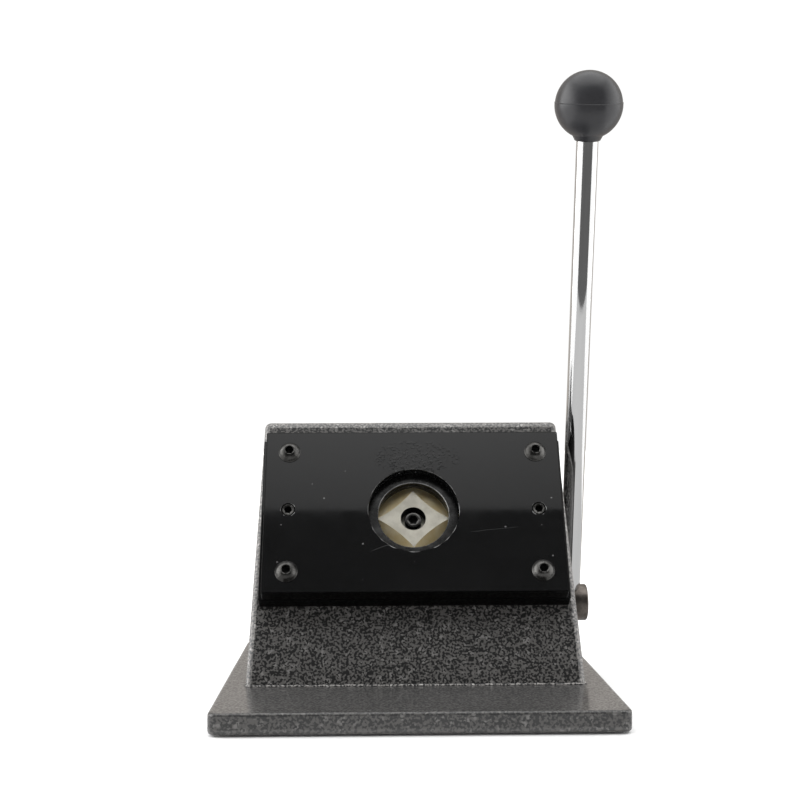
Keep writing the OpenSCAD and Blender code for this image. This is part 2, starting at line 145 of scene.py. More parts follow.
class Graph:
    """Short calls for building a material's nodes."""

    def __init__(self, name, **shader_values):
        self.material = bpy.data.materials.new(name)
        self.material.use_nodes = True
        self.tree = self.material.node_tree
        self.shader = self.tree.nodes["Principled BSDF"]
        for key, value in shader_values.items():
            self.shader.inputs[key.replace("_", " ")].default_value = value
        self.place = self.node("ShaderNodeTexCoord").outputs["Object"]

    def node(self, kind, **properties):
        made = self.tree.nodes.new(kind)
        for key, value in properties.items():
            setattr(made, key, value)
        return made

    def feed(self, socket, value):
        if isinstance(value, bpy.types.NodeSocket):
            self.tree.links.new(value, socket)
        else:
            socket.default_value = value

    def stretch(self, scale, turn=(0, 0, 0)):
        made = self.node("ShaderNodeMapping")
        self.feed(made.inputs["Vector"], self.place)
        made.inputs["Scale"].default_value = scale
        made.inputs["Rotation"].default_value = turn
        return made.outputs["Vector"]

    def noise(self, scale, detail=2.0, rough=0.5, place=None, twist=0.0):
        made = self.node("ShaderNodeTexNoise")
        self.feed(made.inputs["Vector"], place or self.place)
        made.inputs["Scale"].default_value = scale
        made.inputs["Detail"].default_value = detail
        made.inputs["Roughness"].default_value = rough
        made.inputs["Distortion"].default_value = twist
        return made.outputs["Fac"]

    def cells(self, scale):
        made = self.node("ShaderNodeTexVoronoi")
        self.feed(made.inputs["Vector"], self.place)
        made.inputs["Scale"].default_value = scale
        return made.outputs["Distance"]

    def math(self, operation, a, b=0.0, clamp=False):
        made = self.node("ShaderNodeMath", operation=operation, use_clamp=clamp)
        self.feed(made.inputs[0], a)
        self.feed(made.inputs[1], b)
        return made.outputs[0]

    def spread(self, value, low, high, out_low=0.0, out_high=1.0):
        made = self.node("ShaderNodeMapRange", interpolation_type="SMOOTHSTEP")
        self.feed(made.inputs["Value"], value)
        for key, number in zip(("From Min", "From Max", "To Min", "To Max"),
                               (low, high, out_low, out_high)):
            made.inputs[key].default_value = number
        return made.outputs["Result"]

    def mix(self, share, a, b):
        made = self.node("ShaderNodeMix", data_type="RGBA")
        self.feed(made.inputs["Factor"], share)
        self.feed(made.inputs["A"], a)
        self.feed(made.inputs["B"], b)
        return made.outputs["Result"]

    def bump(self, height, strength, distance, normal=None):
        made = self.node("ShaderNodeBump")
        made.inputs["Strength"].default_value = strength
        made.inputs["Distance"].default_value = distance
        self.feed(made.inputs["Height"], height)
        if normal:
            self.feed(made.inputs["Normal"], normal)
        return made.outputs["Normal"]

    def out(self, **sockets):
        for key, value in sockets.items():
            self.feed(self.shader.inputs[key.replace("_", " ")], value)
        return self.material


def grey(value, warm=0.0):
    return (value * (1 + warm), value, value * (1 - warm), 1.0)


def hammertone(name, lift=1.0, ground=1.0, coat=0.4):
    """Hammered paint: light metal-flake worms on near black, about 1 mm apart."""
    g = Graph(name, Metallic=0.2, Specular_IOR_Level=0.2, Coat_Weight=coat, Coat_Roughness=0.12)
    worm = g.noise(780, detail=0.6, rough=0.5, twist=0.3)
    fleck = g.spread(worm, 0.41, 0.6)
    glint = g.math("MULTIPLY", fleck, g.spread(g.noise(330, detail=0), 0.6, 0.8))
    patch = g.noise(30, detail=2)
    dark = g.mix(patch, grey(0.006 * ground), grey(0.01 * ground))
    light = g.mix(patch, grey(0.075 * lift, 0.04), grey(0.1 * lift, 0.04))
    colour = g.mix(glint, g.mix(fleck, dark, light), grey(0.16 * lift, 0.03))
    rough = g.spread(fleck, 0, 1, 0.45, 0.32)
    return g.out(Base_Color=colour, Roughness=rough, Normal=g.bump(worm, 0.12, 0.0002))


def near_line(g, start, end, width, wobble=0.0):
    """1 on a thin line between two points, fading to 0 at its sides and ends."""
    start, end = Vector(start), Vector(end)
    along = (end - start).normalized()
    offset = g.node("ShaderNodeVectorMath", operation="SUBTRACT")
    g.feed(offset.inputs[0], g.place)
    offset.inputs[1].default_value = start
    run = g.node("ShaderNodeVectorMath", operation="DOT_PRODUCT")
    g.feed(run.inputs[0], offset.outputs[0])
    run.inputs[1].default_value = along
    away = g.node("ShaderNodeVectorMath", operation="DOT_PRODUCT")
    g.feed(away.inputs[0], offset.outputs[0])
    away.inputs[1].default_value = NORMAL.cross(along)
    bend = g.math("MULTIPLY", g.math("SUBTRACT", g.noise(70, detail=1), 0.5), wobble)
    side = g.math("ABSOLUTE", g.math("ADD", away.outputs["Value"], bend))
    line = g.spread(side, 0.0, width, 1.0, 0.0)
    length = (end - start).length
    ends = g.math("MULTIPLY", g.spread(run.outputs["Value"], 0.0, length * 0.3),
                  g.spread(run.outputs["Value"], length * 0.7, length, 1.0, 0.0))
    return g.math("MULTIPLY", line, ends)


def near_point(g, centre, reach, squash=1.0):
    """1 at a point, fading to 0 at `reach`; `squash` flattens the patch up the slope."""
    offset = g.node("ShaderNodeVectorMath", operation="DISTANCE")
    stretched = g.node("ShaderNodeVectorMath", operation="MULTIPLY")
    g.feed(stretched.inputs[0], g.place)
    stretched.inputs[1].default_value = (1, squash, squash)
    g.feed(offset.inputs[0], stretched.outputs[0])
    offset.inputs[1].default_value = (centre.x, centre.y * squash, centre.z * squash)
    return g.spread(offset.outputs["Value"], reach * 0.3, reach, 1.0, 0.0)


# places on the front plate, across and up the slope
SCUFF, SCUFF_REACH = (2 * MM, 35 * MM), 30 * MM
SCRATCH_LEFT = ((-27 * MM, -27 * MM), (-10 * MM, -21 * MM), 0.3 * MM, 0.002)
SCRATCH_RIGHT = ((28 * MM, -15 * MM), (66 * MM, -11 * MM), 0.18 * MM, 0.001)


def satin_black():
    """Blacked steel plate with rubbed-in haze, a scuffed patch, scratches and dust."""
    g = Graph("satin_black_plate", Specular_IOR_Level=0.37)
    haze = g.noise(60, detail=5, rough=0.65)
    rub = g.noise(700, detail=2, place=g.stretch((1.0, 0.06, 0.06), (0, 0, 0.3)))
    thick, offset = face_slab("front_plate")[2:]
    scuffed = near_point(g, on_face(*SCUFF, offset + thick / 2).translation, SCUFF_REACH, 2.4)
    scuff = g.math("MULTIPLY", scuffed, g.spread(g.noise(420, detail=3, twist=1.2), 0.52, 0.62))
    low_left, low_right = [
        near_line(g, on_face(*start).translation, on_face(*end).translation, width, wobble)
        for start, end, width, wobble in (SCRATCH_LEFT, SCRATCH_RIGHT)]
    scratch = g.math("ADD", low_left, low_right, True)
    speck = g.spread(g.cells(105), 0.04, 0.08, 1.0, 0.0)
    dust = g.math("MULTIPLY", speck, g.spread(g.noise(41, detail=0), 0.41, 0.45))
    tone = g.mix(haze, grey(0.002, -0.03), grey(0.005, -0.03))
    tone = g.mix(g.math("MULTIPLY", scuff, 0.5), tone, grey(0.02))
    tone = g.mix(g.math("MULTIPLY", scratch, 0.4), tone, grey(0.04))
    colour = g.mix(dust, tone, grey(0.11))
    rough = g.math("ADD", g.spread(haze, 0.3, 0.7, 0.025, 0.045),
                   g.math("MULTIPLY", g.math("ADD", scuff, scratch, True), 0.3))
    normal = g.bump(scuff, 0.4, 0.0003)
    return g.out(Base_Color=colour, Roughness=rough, Normal=g.bump(rub, 0.03, 0.00002, normal))


def rubber():
    g = Graph("mat_rubber", Roughness=0.85)
    weave = g.noise(1400, detail=2)
    colour = g.mix(weave, grey(0.012), grey(0.03))
    return g.out(Base_Color=colour, Normal=g.bump(weave, 0.4, 0.0001))


def metal(name, colour, worn, rough, grain=600, line=None, bump=0.1):
    """Worked metal: blotchy colour, fine grain and, along `line`, drawn-out machining marks."""
    g = Graph(name, Metallic=1.0)
    stain = g.noise(140, detail=4, rough=0.6)
    lines = g.noise(grain, detail=3, place=g.stretch(line) if line else None)
    tone = g.mix(g.spread(stain, 0.35, 0.7), colour, worn)
    roughness = g.math("ADD", g.spread(lines, 0.3, 0.7, rough * 0.8, rough * 1.15),
                       g.spread(stain, 0.4, 0.8, 0, 0.06))
    return g.out(Base_Color=tone, Roughness=roughness, Normal=g.bump(lines, bump, 0.00003))


def chrome():
    g = Graph("chrome_plate", Metallic=1.0)
    haze = g.noise(90, detail=4)
    pits = g.spread(g.cells(260), 0.0, 0.05, 1.0, 0.0)
    colour = g.mix(g.math("MULTIPLY", pits, g.spread(haze, 0.55, 0.6)), grey(0.64), grey(0.3))
    return g.out(Base_Color=colour, Roughness=g.spread(haze, 0.3, 0.7, 0.05, 0.09),
                 Normal=g.bump(g.noise(35, detail=1), 0.03, 0.0004))


def phenolic():
    g = Graph("knob_plastic", Specular_IOR_Level=0.5)
    grain = g.noise(1500, detail=3)
    haze = g.noise(70, detail=3)
    colour = g.mix(haze, (0.014, 0.014, 0.016, 1), (0.024, 0.024, 0.027, 1))
    return g.out(Base_Color=colour, Roughness=g.spread(haze, 0.3, 0.7, 0.28, 0.38),
                 Normal=g.bump(grain, 0.1, 0.00005))


def white_sheet():
    g = Graph("white_sheet", Roughness=0.9)
    soft = g.noise(3, detail=1)
    return g.out(Base_Color=g.mix(soft, grey(0.93), grey(0.95)))


def dark_screen():
    g = Graph("dark_screen", Roughness=0.95, Specular_IOR_Level=0.0)
    parts = g.node("ShaderNodeSeparateXYZ")
    g.feed(parts.inputs[0], g.place)
    high = g.spread(parts.outputs["Z"], 0.1, 1.5)
    cloud = g.noise(0.8)
    return g.out(Base_Color=g.mix(high, g.mix(cloud, grey(0.08), grey(0.11)),
                                  g.mix(cloud, grey(0.06), grey(0.09))))


def lit_card(name, low, high, warmth):
    """A panel with its own soft light."""
    g = Graph(name, Roughness=0.95, Specular_IOR_Level=0.0, Emission_Strength=1.0)
    glow = g.mix(g.noise(1.2, detail=2), grey(low, warmth), grey(high, warmth))
    return g.out(Base_Color=grey(0.0), Emission_Color=glow)


HAMMERTONE = hammertone("hammertone_paint")
# lighter copy of the paint for the rounded front edges: a painted highlight
EDGE_HIGHLIGHT_PAINT = hammertone("hammertone_edges_painted_highlight", 2.3, 12.0)
# lighter copy of the paint for the foot bead: a painted highlight
BEAD_HIGHLIGHT_PAINT = hammertone("hammertone_bead_painted_highlight", 3.4, 6.0)
BASE_PAINT = hammertone("hammertone_base", 0.8, 3.4, 0.7)
NEAR_CARD = lit_card("near_card", 0.65, 0.9, 0.0)
BACK_CARD = lit_card("back_card", 0.5, 0.62, 0.07)
BLACK = satin_black()
RUBBER = rubber()
CHROME = chrome()
PLASTIC = phenolic()
OXIDE = metal("black_oxide", (0.045, 0.044, 0.042, 1), (0.11, 0.108, 0.104, 1), 0.24)
BLACK_EDGE = metal("black_edge", grey(0.006), grey(0.012), 0.55)
# near-black finish for the insides of screw sockets and recesses: painted shade
SOCKET_SHADE = metal("socket_painted_shade", grey(0.012), grey(0.03), 0.6)
DIE_STEEL = metal("die_steel", grey(0.028), grey(0.06), 0.3)
BRIGHT_EDGE = metal("bright_edge", grey(0.16), grey(0.3), 0.3)
PUNCH_FLAT = metal("punch_ground", (0.56, 0.54, 0.47, 1), (0.46, 0.44, 0.38, 1), 0.42, grain=1800)
PUNCH_HOLLOW = metal("punch_hollow", (0.74, 0.6, 0.33, 1), (0.8, 0.7, 0.48, 1), 0.5, grain=900)
BROWN_STEEL = metal("browned_steel", (0.085, 0.076, 0.068, 1), (0.17, 0.15, 0.135, 1), 0.36,
                    grain=900, line=(6, 0.3, 0.3))
STEEL = metal("turned_steel", grey(0.5), grey(0.38), 0.3, grain=1200)
ZINC = metal("zinc_plate", grey(0.55), grey(0.42), 0.32)
CASTING = metal("iron_casting", grey(0.08), grey(0.14), 0.6, grain=500, bump=0.5)
BRONZE = metal("sintered_bronze", (0.45, 0.27, 0.12, 1), (0.33, 0.2, 0.1, 1), 0.45)
BRASS = metal("turned_brass", (0.72, 0.52, 0.22, 1), (0.55, 0.4, 0.18, 1), 0.28)
SPRING = metal("spring_steel", grey(0.2), grey(0.3), 0.35)


# ---------- mesh helpers ----------

def finish_piece(bm, name, material, body, node=None, place=None, sharp=35):
    """Turns a bmesh into a piece that rides on a body and stands for a CAD node."""
    bmesh.ops.recalc_face_normals(bm, faces=bm.faces)
    mesh = bpy.data.meshes.new(name)
    bm.to_mesh(mesh)
    bm.free()
    if place is not None:
        mesh.transform(place)
    mesh.shade_smooth()
    mesh.set_sharp_from_angle(angle=math.radians(sharp))
    piece = bpy.data.objects.new(name, mesh)
    bpy.context.scene.collection.objects.link(piece)
    for made in material if isinstance(material, (list, tuple)) else [material]:
        mesh.materials.append(made)
    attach(piece, body)
    if node:
        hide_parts(node)
    return piece


def even_normals(piece):
    """Keeps big flat faces flat beside their rounded edges."""
    weigh = piece.modifiers.new("even_normals", "WEIGHTED_NORMAL")
    weigh.keep_sharp = True
    weigh.weight = 100
    return piece


def sharpen(piece, kind):
    """Marks the edges where two kinds of face meet as sharp."""
    mesh = piece.data
    beside = {}
    for polygon in mesh.polygons:
        for key in polygon.edge_keys:
            beside.setdefault(key, set()).add(kind(polygon))
    sharp = mesh.attributes.get("sharp_edge") or mesh.attributes.new(
        "sharp_edge", "BOOLEAN", "EDGE")
    for edge in mesh.edges:
        if len(beside.get(edge.key, ())) > 1:
            sharp.data[edge.index].value = True
    return piece


def ring(radius, z, sides=0):
    """Points of a circle, or of a polygon whose flats are 2 * radius apart."""
    points = []
    for i in range(SEGMENTS):
        angle = 2 * math.pi * i / SEGMENTS
        reach = radius
        if sides:
            part = 2 * math.pi / sides
            reach = radius / math.cos((angle % part) - part / 2)
        points.append((reach * math.cos(angle), reach * math.sin(angle), z))
    return points


def add_rings(bm, rings, capped=True):
    loops = [[bm.verts.new(p) for p in points] for points in rings]
    for a, b in zip(loops, loops[1:]):
        for i in range(SEGMENTS):
            j = (i + 1) % SEGMENTS
            bm.faces.new((a[i], a[j], b[j], b[i]))
    if capped:
        bm.faces.new(loops[0][::-1])
        bm.faces.new(loops[-1])


def fillet(points, steps=6):
    """Rounds the corners of an outline of (r, z, corner radius) points."""
    out = []
    for i, (r, z, corner) in enumerate(points):
        here = Vector((r, z))
        if not corner or i in (0, len(points) - 1):
            out.append(here)
            continue
        before = (Vector(points[i - 1][:2]) - here).normalized()
        after = (Vector(points[i + 1][:2]) - here).normalized()
        half = before.angle(after) / 2
        reach = corner / math.tan(half)
        centre = here + (before + after).normalized() * corner / math.sin(half)
        start = here + before * reach - centre
        turn = start.angle_signed(here + after * reach - centre)
        for k in range(steps + 1):
            a = -turn * k / steps
            out.append(centre + Vector((start.x * math.cos(a) - start.y * math.sin(a),
                                        start.x * math.sin(a) + start.y * math.cos(a))))
    return out


def turned(name, outline, material, body, node, place, closed=False):
    """A turned piece from an outline of (r, z, corner radius) points."""
    bm = bmesh.new()
    profile = fillet(outline)
    if closed:
        profile = profile + [profile[0]]
    rings = [ring(max(p.x, POINT), p.y) for p in profile]
    add_rings(bm, rings, not closed)
    bmesh.ops.remove_doubles(bm, verts=bm.verts, dist=WELD)
    return finish_piece(bm, name, material, body, node, place)


def socket_rings(across, top, depth):
    """Rings that step from a round rim into a six-sided socket with a drilled floor."""
    half = across / 2
    corner = half / math.cos(math.pi / 6)
    return [ring(corner * 1.1, top), ring(half * 1.03, top - 0.2 * MM, 6),
            ring(half, top - 0.5 * MM, 6), ring(half, top - depth, 6),
            ring(half * 0.9, top - depth - 0.1 * MM), ring(POINT, top - depth - 0.6 * MM)]


def outline_normals(points):
    """Unit direction into the material at each point of a closed outline, and its mitre."""
    out = []
    for i, p in enumerate(points):
        before = (p - points[i - 1]).normalized()
        after = (points[(i + 1) % len(points)] - p).normalized()
        left = Vector((-before.y - after.y, before.x + after.x)).normalized()
        mitre = max(0.5, left.dot(Vector((-after.y, after.x))))
        out.append(left / mitre)
    return out


def rounded_rectangle(width, height, corner, steps=8):
    points = []
    for k, (sx, sy) in enumerate(((1, 1), (-1, 1), (-1, -1), (1, -1))):
        centre = Vector((sx * (width / 2 - corner), sy * (height / 2 - corner)))
        for i in range(steps + 1):
            a = math.pi / 2 * (k + i / steps)
            points.append(centre + Vector((math.cos(a), math.sin(a))) * corner)
    return points


def round_hole(x, y, radius):
    """A hole's outline, which runs clockwise so that its left is in the material."""
    count = SEGMENTS
    return [Vector((x + radius * math.cos(-2 * math.pi * i / count),
                    y + radius * math.sin(-2 * math.pi * i / count))) for i in range(count)]


def slab(name, loops, z0, z1, edge, material, body, node=None, place=None, rims=()):
    """A plate with rounded top and bottom edges. Loop 0 is its outline, and the rest are holes.
    The rounded edges of the loops in `rims` take the last material, and the outer edge takes
    the second of three."""
    bm = bmesh.new()
    steps = 4
    turns = [math.pi / 2 * i / steps for i in range(steps + 1)]
    section = [(edge - edge * math.sin(a), z0 + edge - edge * math.cos(a)) for a in turns]
    section += [(r, z1 + z0 - z) for r, z in section[::-1]]
    ends = []
    for number, points in enumerate(loops):
        normals = outline_normals(points)
        rows = [[bm.verts.new((*(p + n * inset), z)) for p, n in zip(points, normals)]
                for inset, z in section]
        for level, (a, b) in enumerate(zip(rows, rows[1:])):
            for i in range(len(points)):
                j = (i + 1) % len(points)
                face = bm.faces.new((a[i], a[j], b[j], b[i]))
                if number in rims and level != steps:
                    face.material_index = len(material) - 1
                elif number == 0 and isinstance(material, list) and len(material) == 3:
                    face.material_index = 1
        ends.append((rows[0], rows[-1]))
    for side in (0, 1):
        verts = [v for end in ends for v in end[side]]
        edges, start = [], 0
        for end in ends:
            count = len(end[side])
            edges += [(start + i, start + (i + 1) % count) for i in range(count)]
            start += count
        flat = [v.co.xy for v in verts]
        result = delaunay_2d_cdt(flat, edges, [], 2 if len(loops) == 1 else 4, 1e-7)
        made = [verts[origin[0]] for origin in result[3]]
        for tri in result[2]:
            centre = sum((Vector(made[i].co.xy) for i in tri), Vector((0, 0))) / len(tri)
            if inside(centre, loops):
                bm.faces.new([made[i] for i in tri])
    piece = even_normals(finish_piece(bm, name, material, body, node, place, 30))
    up = place.to_3x3() @ Z_AXIS if place else Z_AXIS
    return sharpen(piece, lambda polygon: abs(polygon.normal.dot(up)) > FLAT)


def within(point, outline):
    hit = False
    for i, a in enumerate(outline):
        b = outline[i - 1]
        if (a.y > point.y) != (b.y > point.y):
            if point.x < (b.x - a.x) * (point.y - a.y) / (b.y - a.y) + a.x:
                hit = not hit
    return hit


def inside(point, loops):
    return within(point, loops[0]) and not any(within(point, hole) for hole in loops[1:])


# ---------- base ----------

BASE_CORNER, BASE_EDGE = 6 * MM, 1.8 * MM
MAT_CORNER, MAT_EDGE = 4 * MM, 0.25 * MM


def base_plate():
    low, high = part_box("base_plate")
    outline = rounded_rectangle(high.x - low.x, high.y - low.y, BASE_CORNER, 12)
    slab("base", [outline], low.z, high.z, BASE_EDGE, BASE_PAINT, "frame",
         "base_plate")


def anti_slip_mat():
    low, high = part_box("anti_slip_mat")
    outline = rounded_rectangle(high.x - low.x, high.y - low.y, MAT_CORNER)
    slab("mat", [outline], low.z, high.z, MAT_EDGE, RUBBER, "frame", "anti_slip_mat")


# ---------- body ----------

BODY_LOW, BODY_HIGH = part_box("body_housing")
FOOT_HALF = (BODY_HIGH.x - BODY_LOW.x) / 2
TOP_HALF = 91.25 * MM
BODY_EDGE = 4 * MM
FACE_WALL = 10 * MM


def face_y(z):
    return BODY_LOW.y + (z - BODY_LOW.z) * SINE / COSINE


def half_width(z):
    share = (z - BODY_LOW.z) / (BODY_HIGH.z - BODY_LOW.z)
    return FOOT_HALF + (TOP_HALF - FOOT_HALF) * share


def cut(piece, cutter):
    """Cuts one mesh out of another and applies the cut."""
    boolean = piece.modifiers.new("cut", "BOOLEAN")
    boolean.operation = "DIFFERENCE"
    boolean.solver = "EXACT"
    boolean.object = cutter
    bpy.context.view_layer.update()
    cut_mesh = bpy.data.meshes.new_from_object(
        piece.evaluated_get(bpy.context.evaluated_depsgraph_get()))
    piece.modifiers.clear()
    old = piece.data
    piece.data = cut_mesh
    bpy.data.meshes.remove(old)
    bpy.data.objects.remove(cutter)


def cutter_object(bm, place=None):
    mesh = bpy.data.meshes.new("cutter")
    bm.to_mesh(mesh)
    bm.free()
    if place is not None:
        mesh.transform(place)
    made = bpy.data.objects.new("cutter", mesh)
    bpy.context.scene.collection.objects.link(made)
    return made


def prism(bm, low_corners, high_corners):
    """A closed block between two outlines of the same length."""
    low = [bm.verts.new(p) for p in low_corners]
    high = [bm.verts.new(p) for p in high_corners]
    bm.faces.new(low[::-1])
    bm.faces.new(high)
    for i in range(len(low)):
        j = (i + 1) % len(low)
        bm.faces.new((low[i], low[j], high[j], high[i]))
    return low, high


def cylinder_cutter(radius, z0, z1, place):
    bm = bmesh.new()
    add_rings(bm, [ring(radius, z0), ring(radius, z1)])
    return cutter_object(bm, place)


BEVEL_AREA = 0.001          # faces smaller than this belong to a rounded edge
FRONT_TOP = 45 * MM         # rounded edges in front of this take the lighter paint, a painted highlight
SIDE_WALL = 8 * MM
RAM_BORE_LOW, RAM_BORE_HIGH, RAM_BORE_GAP = -40 * MM, 0.2 * MM, 2 * MM
BUSH_CUT = 60 * MM
COVER_LAP = 10 * MM         # how far the rear cover laps over its opening
OPENING_IN, OPENING_OUT = 20 * MM, 5 * MM


def body_housing():
    low, high, back = BODY_LOW.z, BODY_HIGH.z, BODY_HIGH.y
    bm = bmesh.new()

    def corners(z):
        half = half_width(z)
        return [(-half, face_y(z), z), (half, face_y(z), z), (half, back, z), (-half, back, z)]

    foot, top = prism(bm, corners(low), corners(high))
    edges = [e for e in bm.edges if not (e.verts[0] in foot and e.verts[1] in foot)]
    bmesh.ops.bevel(bm, geom=edges, offset=BODY_EDGE * 0.85, segments=6, profile=0.5,
                    affect="EDGES", clamp_overlap=True)
    # the rounded front edges take the lighter paint: a painted highlight
    for face in bm.faces:
        rounded = face.calc_area() < BEVEL_AREA
        face.material_index = int(rounded and face.calc_center_median().y < FRONT_TOP)
    piece = finish_piece(bm, "body", [HAMMERTONE, EDGE_HIGHLIGHT_PAINT], "frame",
                         "body_housing")

    hollow = bmesh.new()
    inner, wall = FACE_WALL / COSINE, SIDE_WALL

    def inner_corners(z):
        half = half_width(z) - wall
        front = face_y(z) + inner
        return [(-half, front, z), (half, front, z), (half, back - wall, z),
                (-half, back - wall, z)]

    prism(hollow, inner_corners(low - wall), inner_corners(high - wall))
    bmesh.ops.recalc_face_normals(hollow, faces=hollow.faces)
    cut(piece, cutter_object(hollow))
    cut(piece, cylinder_cutter(PUNCH_R + RAM_BORE_GAP, RAM_BORE_LOW, RAM_BORE_HIGH,
                               on_face(z=FACE_OFFSET)))
    bush_r = span("wall_bush").z / 2
    cut(piece, cylinder_cutter(bush_r, 0, BUSH_CUT, on_shaft(BODY_HIGH.x - BUSH_CUT / 2)))
    cover = span("rear_cover")
    opening = bmesh.new()
    half_x, half_z = cover.x / 2 - COVER_LAP, cover.z / 2 - COVER_LAP
    centre = middle("rear_cover")
    sides = [(-half_x, -half_z), (half_x, -half_z), (half_x, half_z), (-half_x, half_z)]
    prism(opening, [(x, back - OPENING_IN, centre.z + z) for x, z in sides],
          [(x, back + OPENING_OUT, centre.z + z) for x, z in sides])
    bmesh.ops.recalc_face_normals(opening, faces=opening.faces)
    cut(piece, cutter_object(opening))
    piece.data.shade_smooth()
    piece.data.set_sharp_from_angle(angle=math.radians(30))
    even_normals(piece)


def foot_bead():
    """The bead of paint and filler that runs round the body where it meets the base, in a lighter
    paint that is a painted highlight.
    """
    z, radius, spacing = BODY_LOW.z, 0.75 * MM, 2.5 * MM
    front, back = BODY_LOW.y, BODY_HIGH.y
    outline = [Vector((p.x, p.y + (front + back) / 2))
               for p in rounded_rectangle(2 * FOOT_HALF, back - front, BODY_EDGE, 6)]
    dense = []
    for i, p in enumerate(outline):
        q = outline[(i + 1) % len(outline)]
        count = max(1, int((q - p).length / spacing))
        dense += [p.lerp(q, k / count) for k in range(count)]
    sides = 10
    bm = bmesh.new()
    normals = outline_normals(dense)
    loops = []
    for p, n in zip(dense, normals):
        swell = radius * random.uniform(0.75, 1.15)
        loop = []
        for k in range(sides):
            a = 2 * math.pi * k / sides
            out = p - n * swell * math.cos(a)
            loop.append(bm.verts.new((out.x, out.y, z + swell * 0.3 + swell * math.sin(a))))
        loops.append(loop)
    for a, b in zip(loops, loops[1:] + loops[:1]):
        for k in range(sides):
            m = (k + 1) % sides
            bm.faces.new((a[k], b[k], b[m], a[m]))
    finish_piece(bm, "foot_bead", BEAD_HIGHLIGHT_PAINT, "frame", sharp=80)


def rear_cover():
    low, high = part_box("rear_cover")
    outline = rounded_rectangle(high.x - low.x, high.z - low.z, 3 * MM)
    centre = middle("rear_cover")
    slab("cover", [outline], 0, high.y - low.y, 0.5 * MM, HAMMERTONE, "frame",
         "rear_cover", on_back(centre.x, low.y, centre.z))


# ---------- die plates ----------

FACE_OFFSET = face_slab("back_plate")[3] - face_slab("back_plate")[2] / 2
PUNCH_R = span("punch").x / 2
PUNCH_GAP = 0.05 * MM
SCREW_D = 8 * MM
FLANGE = 3.3 * MM           # the cutting ring's flange past the window
FLANGE_T = 2 * MM
RING_SHORT = 6.9 * MM       # how far the ring stops below the front plate's face
RING_EDGE = 0.35 * MM
PLATE_CORNER = 0.8 * MM
WINDOW_R = span("die_ring").x / 2 - FLANGE
RIM = metal("rubbed_rim", grey(0.08), grey(0.3), 0.25)


def front_and_back_plates():
    hole_x = (span("set_screws").x - SCREW_D) / 2
    set_y = (middle("set_screws") - AXIS_POINT).dot(SLOPE)
    width, height, thick, offset = face_slab("front_plate")
    outline = rounded_rectangle(width, height, PLATE_CORNER, 4)
    holes = [round_hole(0, 0, WINDOW_R)]
    holes += [round_hole(x, set_y, SCREW_D / 2 + 0.1 * MM) for x in (-hole_x, hole_x)]
    slab("plate_front", [outline] + holes, -thick / 2, thick / 2, 0.5 * MM,
         [BLACK, BLACK_EDGE, RIM], "frame", "front_plate", on_face(z=offset),
         rims=(1, 2, 3))
    width, height, thick, offset = face_slab("back_plate")
    outline = rounded_rectangle(width, height, PLATE_CORNER, 4)
    slab("plate_back", [outline, round_hole(0, 0, PUNCH_R + PUNCH_GAP)], -thick / 2, thick / 2,
         0.4 * MM, [BLACK, BLACK_EDGE, BLACK_EDGE], "frame", "back_plate",
         on_face(z=offset))


def die_ring():
    thick, offset = face_slab("front_plate")[2:]
    back = offset - thick / 2
    depth = thick - RING_SHORT
    bore, outer, flange = PUNCH_R + PUNCH_GAP, WINDOW_R - PUNCH_GAP, WINDOW_R + FLANGE
    outline = [(bore, 0, 0), (flange, 0, 0), (flange, FLANGE_T, 0), (outer, FLANGE_T, 0),
               (outer, depth, 0.3 * MM), (bore + RING_EDGE, depth, 0),
               (bore, depth - RING_EDGE, 0)]
    piece = turned("die", outline, [DIE_STEEL, BRIGHT_EDGE], "frame", "die_ring",
                   on_face(z=back), closed=True)
    to_ring = on_face(z=back).inverted()
    for face in piece.data.polygons:
        here = to_ring @ face.center
        if here.z > depth - 0.32 * MM and here.xy.length < bore + RING_EDGE:
            face.material_index = 1


# ---------- screws ----------

CORNERS = ((-1, 1), (1, 1), (-1, -1), (1, -1))


def dome(head_d, head_h, steps=9):
    """Rings from the rim of a button head up to the edge of its socket."""
    radius = ((head_d / 2) ** 2 + head_h ** 2) / (2 * head_h)
    points = []
    for i in range(steps + 1):
        r = head_d / 2 * (1 - 0.56 * i / steps)
        points.append((r, head_h - radius + math.sqrt(radius ** 2 - r ** 2)))
    return points


def button_screw(name, place, body, material, shank_d, head_d, head_h, across, length):
    bm = bmesh.new()
    side = dome(head_d, head_h)
    top = side[-1][1]
    shank, rim = shank_d / 2, head_d / 2
    rings = [ring(POINT, -length), ring(shank * 0.85, -length), ring(shank, -length * 0.97),
             ring(shank, -0.1 * MM), ring(rim - 0.5 * MM, 0), ring(rim - 0.1 * MM, 0.15 * MM)]
    rings += [ring(r, max(z, 0.35 * MM)) for r, z in side]
    wall = len(rings)
    rings += socket_rings(across, top, across * 0.62)
    add_rings(bm, rings)
    # the socket's faces take the painted shade
    for index, face in enumerate(bm.faces):
        if index >= (wall + 1) * SEGMENTS:
            face.material_index = 1
    bmesh.ops.remove_doubles(bm, verts=bm.verts, dist=WELD)
    return finish_piece(bm, name, [material, SOCKET_SHADE], body, None, place, 32)


def face_bolts():
    thick, offset = face_slab("front_plate")[2:]
    head_d, head_h, across, length = 14 * MM, 4.4 * MM, 4.6 * MM, 26 * MM
    head_trim = 0.8 * MM    # the visible heads are this much smaller than the CAD heads
    reach_x = (span("plate_screws").x - head_d) / 2
    reach_y = (face_slab("plate_screws")[1] - head_d) / 2
    front = offset + thick / 2
    mean_y = (middle("plate_screws") - AXIS_POINT).dot(SLOPE)
    for number, (sx, sy) in enumerate(CORNERS):
        spin = Matrix.Rotation(random.uniform(0, math.pi / 3), 4, "Z")
        place = on_face(sx * reach_x, mean_y + sy * reach_y, front) @ spin
        piece = button_screw(f"plate_screw_{number}", place, "frame", OXIDE,
                             SCREW_D, head_d - head_trim, head_h, across, length)
        if number == 0:
            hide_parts("plate_screws")


